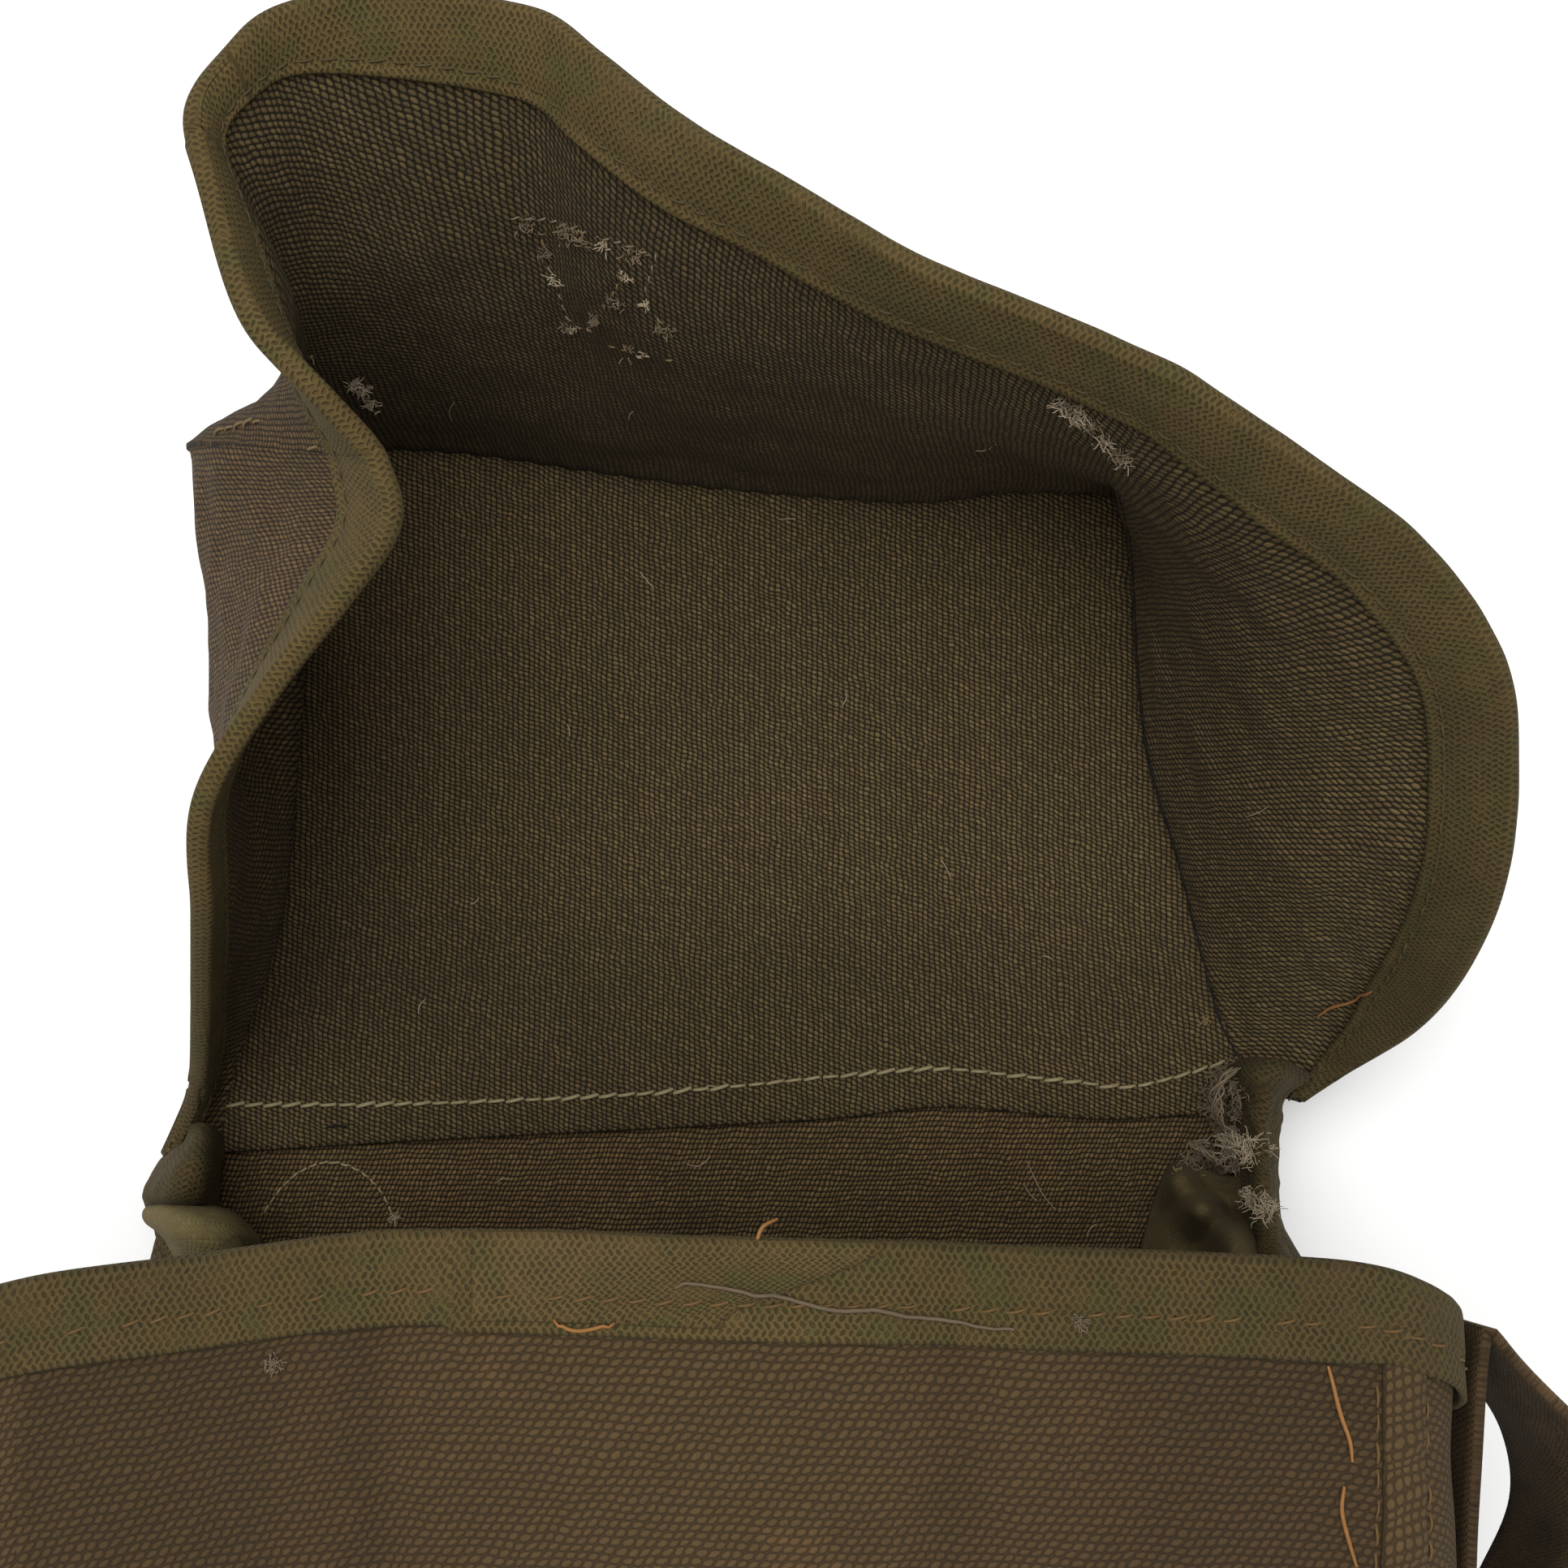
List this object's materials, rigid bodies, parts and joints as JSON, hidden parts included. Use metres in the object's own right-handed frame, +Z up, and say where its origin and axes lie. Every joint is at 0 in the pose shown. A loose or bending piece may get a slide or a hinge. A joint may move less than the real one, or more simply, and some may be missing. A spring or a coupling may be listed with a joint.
{
  "type": "general purpose canvas bag",
  "caption": "Square-bodied olive canvas carrying bag lying open on its back, with a box-shaped flap, webbing-bound edges and a long shoulder strap",
  "frame": {"origin": "on the flat underside of the back wall, midway across the bag and 150 mm from the hinge, where the bag rests on the table", "axes": "+Z up from the table, +Y from the bag's bottom towards its mouth and open flap, +X towards the side that the picture shows on the right"},
  "size_m": [0.2766, 0.5958, 0.1424],
  "materials": {
    "outer_canvas": "dry, worn plain-weave cotton canvas",
    "flap_canvas": "dry plain-weave cotton canvas, greener where it was kept from the light",
    "binding_webbing": "matte ribbed cotton webbing",
    "strap_webbing": "matte brushed cotton webbing"
  },
  "bodies": {
    "root": {"front_wall": "outer_canvas", "gusset_left": "outer_canvas", "gusset_right": "outer_canvas", "front_seam_left": "outer_canvas", "front_seam_right": "outer_canvas", "back_wall": "outer_canvas", "bottom_wall": "outer_canvas", "mouth_binding": "binding_webbing", "gusset_binding_left": "binding_webbing", "gusset_binding_right": "binding_webbing", "flap_panel": "flap_canvas", "flap_wing_left": "flap_canvas", "flap_wing_right": "flap_canvas", "flap_lip": "flap_canvas", "wing_binding_left": "binding_webbing", "wing_binding_right": "binding_webbing", "lip_binding": "binding_webbing", "shoulder_strap": "strap_webbing", "closing_tab": "binding_webbing", "front_keeper": "binding_webbing", "back_patch": "binding_webbing"}
  },
  "joints": []
}
